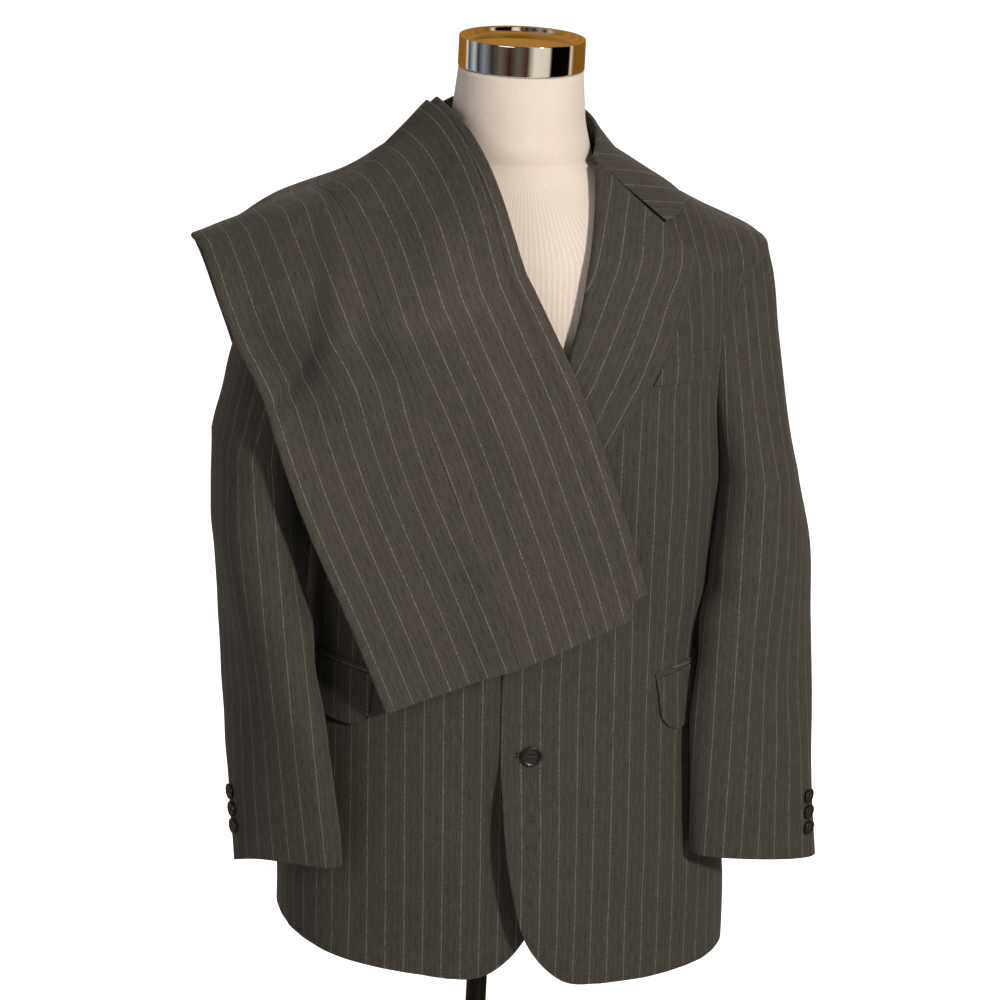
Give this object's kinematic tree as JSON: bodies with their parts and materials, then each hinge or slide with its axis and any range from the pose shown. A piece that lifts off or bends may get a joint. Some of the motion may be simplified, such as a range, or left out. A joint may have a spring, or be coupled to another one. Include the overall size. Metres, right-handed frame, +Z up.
{
  "type": "two-piece suit on dress form",
  "caption": "Single-breasted pinstripe suit jacket worn by a limbless dress form on a stand, with its trousers folded and hung over the right shoulder.",
  "frame": {"origin": "centre of the stand base's underside, on the floor", "axes": "+Z up; the front of the jacket faces -Y and the wearer's left is +X"},
  "size_m": [0.6266, 0.34, 1.46],
  "materials": {
    "jacket_worsted": "matte worsted wool with a fine pale pinstripe",
    "trouser_worsted": "matte worsted wool with a fine pale pinstripe",
    "horn": "polished dark horn look",
    "jersey": "fine off-white jersey, matte",
    "chrome": "mirror polished",
    "black_steel": "black enamel, satin"
  },
  "bodies": {
    "root": {"back_left": "jacket_worsted", "back_pocket_button": "horn", "back_pocket_welt": "trouser_worsted", "back_right": "jacket_worsted", "belt_loop_1": "trouser_worsted", "belt_loop_2": "trouser_worsted", "belt_loop_3": "trouser_worsted", "belt_loop_4": "trouser_worsted", "breast_welt": "jacket_worsted", "collar_fall": "jacket_worsted", "collar_stand": "jacket_worsted", "cuff_button_left_1": "horn", "cuff_button_left_2": "horn", "cuff_button_left_3": "horn", "cuff_button_right_1": "horn", "cuff_button_right_2": "horn", "cuff_button_right_3": "horn", "flap_left": "jacket_worsted", "flap_right": "jacket_worsted", "form_torso": "jersey", "front_button_lower": "horn", "front_button_upper": "horn", "front_left": "jacket_worsted", "front_right": "jacket_worsted", "jet_left": "jacket_worsted", "jet_right": "jacket_worsted", "lapel_left": "jacket_worsted", "lapel_right": "jacket_worsted", "neck_cap": "chrome", "pole": "black_steel", "pole_socket": "black_steel", "side_left": "jacket_worsted", "side_right": "jacket_worsted", "sleeve_top_left": "jacket_worsted", "sleeve_top_right": "jacket_worsted", "sleeve_under_left": "jacket_worsted", "sleeve_under_right": "jacket_worsted", "stand_base": "black_steel", "trousers_left_leg": "trouser_worsted", "trousers_right_back": "trouser_worsted", "trousers_right_front": "trouser_worsted", "trousers_right_inner": "trouser_worsted", "waistband_left": "trouser_worsted", "waistband_right": "trouser_worsted"}
  },
  "joints": []
}
